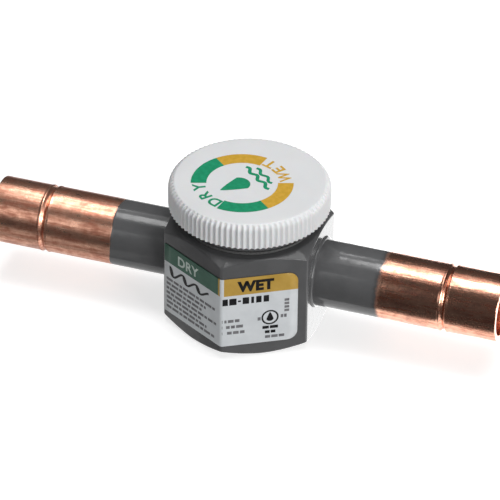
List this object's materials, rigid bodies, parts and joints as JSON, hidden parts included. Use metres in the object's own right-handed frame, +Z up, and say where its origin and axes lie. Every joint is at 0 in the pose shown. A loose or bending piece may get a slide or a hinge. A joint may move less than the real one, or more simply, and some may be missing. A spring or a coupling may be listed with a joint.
{
  "type": "sight glass",
  "caption": "Hexagonal refrigerant sight glass with copper solder stubs on opposite faces, a moisture-indicator window on top and a fluted dust cap that turns and lifts off.",
  "frame": {"origin": "centre of the hexagonal body's flat base", "axes": "+X along the flow axis through both stubs, +Z up through the window and the cap, the printed label faces -Y"},
  "size_m": [0.1226, 0.0405, 0.0364],
  "materials": {
    "grey_paint": "satin grey enamel",
    "copper": "bright drawn copper",
    "seal_ring": "matte",
    "plated_steel": "nickel plated",
    "window_glass": "clear",
    "brass": "satin",
    "filter_felt": "felt",
    "indicator_paper": "matte paper",
    "spring_steel": "bright",
    "printed_foil": "printed film",
    "liner_foam": "matte foam",
    "white_plastic": "semi-gloss"
  },
  "bodies": {
    "body": {"hex_body": "grey_paint", "outlet_stub": "copper", "inlet_stub": "copper", "outlet_braze_fillet": "grey_paint", "inlet_braze_fillet": "grey_paint", "neck_seal": "seal_ring", "neck_ring": "grey_paint", "glass_shell": "plated_steel", "window_glass": "window_glass", "indicator_holder": "brass", "filter_pad": "filter_felt", "strainer_screen": "brass", "indicator_paper": "indicator_paper", "indicator_bezel": "brass", "wave_spring": "spring_steel", "spring_clip": "spring_steel", "wrap_label": "printed_foil"},
    "liner": {"cap_liner": "liner_foam"},
    "cap": {"dust_cap": "white_plastic"}
  },
  "joints": [
    {"name": "cap_lift", "type": "slide", "parent": "body", "child": "liner", "axis": [0, 0, 1], "range_m": [0, 0.015]},
    {"name": "cap_turn", "type": "hinge", "parent": "liner", "child": "cap", "pos_m": [0, 0, 0.0345], "axis": [0, 0, 1], "continuous": true}
  ]
}
